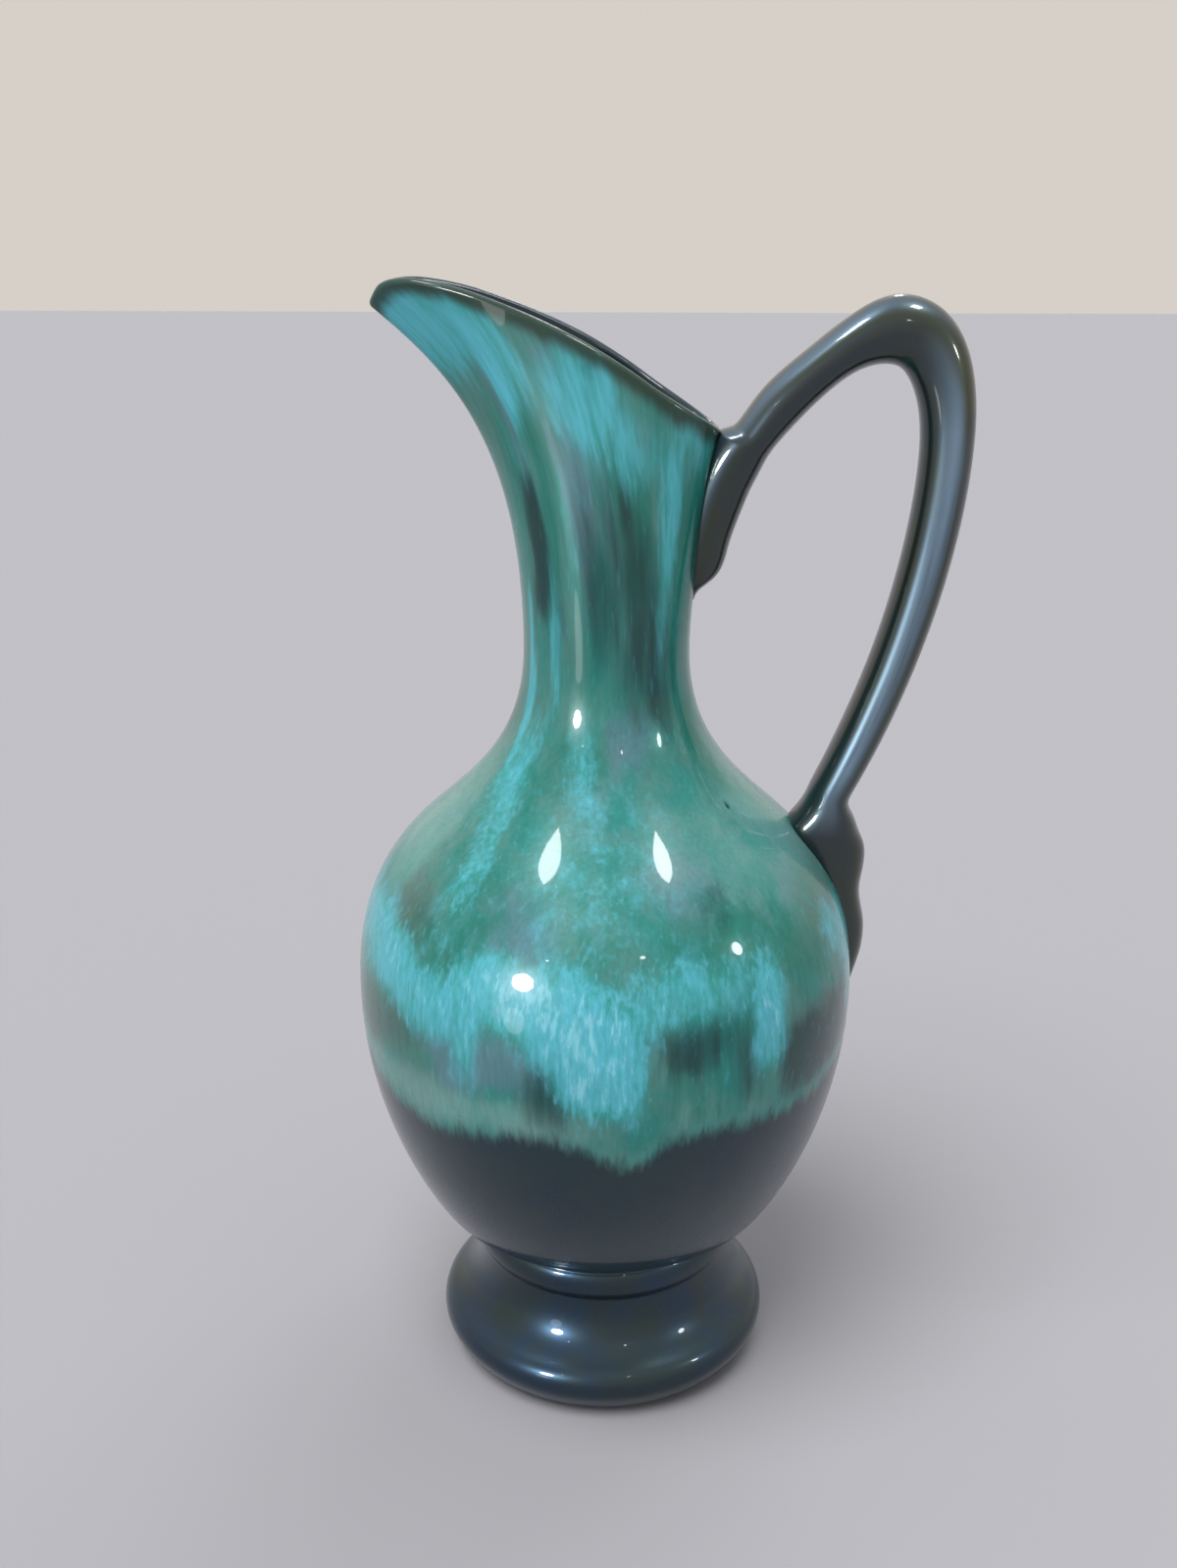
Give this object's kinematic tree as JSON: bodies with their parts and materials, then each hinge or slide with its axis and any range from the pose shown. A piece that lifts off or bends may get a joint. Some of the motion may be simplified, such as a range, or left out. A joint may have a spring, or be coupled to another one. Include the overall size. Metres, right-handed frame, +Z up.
{
  "type": "pitcher",
  "caption": "Footed round-bellied glazed pitcher with a narrow neck, a long pinched pouring spout and a high looped strap handle.",
  "frame": {"origin": "centre of the flat ring that the foot stands on", "axes": "+Z up from the table, -X towards the pouring spout, +X towards the handle, the XZ plane is the plane of symmetry"},
  "size_m": [0.1615, 0.1374, 0.3049],
  "materials": {
    "pedestal_foot": "gloss blue-black glaze, bare clay on the ring it stands on",
    "collar_ring": "gloss blue-black glaze",
    "belly_shell": "gloss drip glaze, turquoise over green over blue-black",
    "neck_and_spout": "gloss streaked glaze, turquoise over green, blue-black inside",
    "handle_strap": "gloss blue-black glaze thinning to olive on the edges",
    "neck_tongue": "gloss blue-black glaze thinning to olive on the edges",
    "shoulder_tail": "gloss blue-black glaze thinning to olive on the edges"
  },
  "bodies": {
    "root": {"pedestal_foot": "pedestal_foot", "collar_ring": "collar_ring", "belly_shell": "belly_shell", "neck_and_spout": "neck_and_spout", "handle_strap": "handle_strap", "neck_tongue": "neck_tongue", "shoulder_tail": "shoulder_tail"}
  },
  "joints": []
}
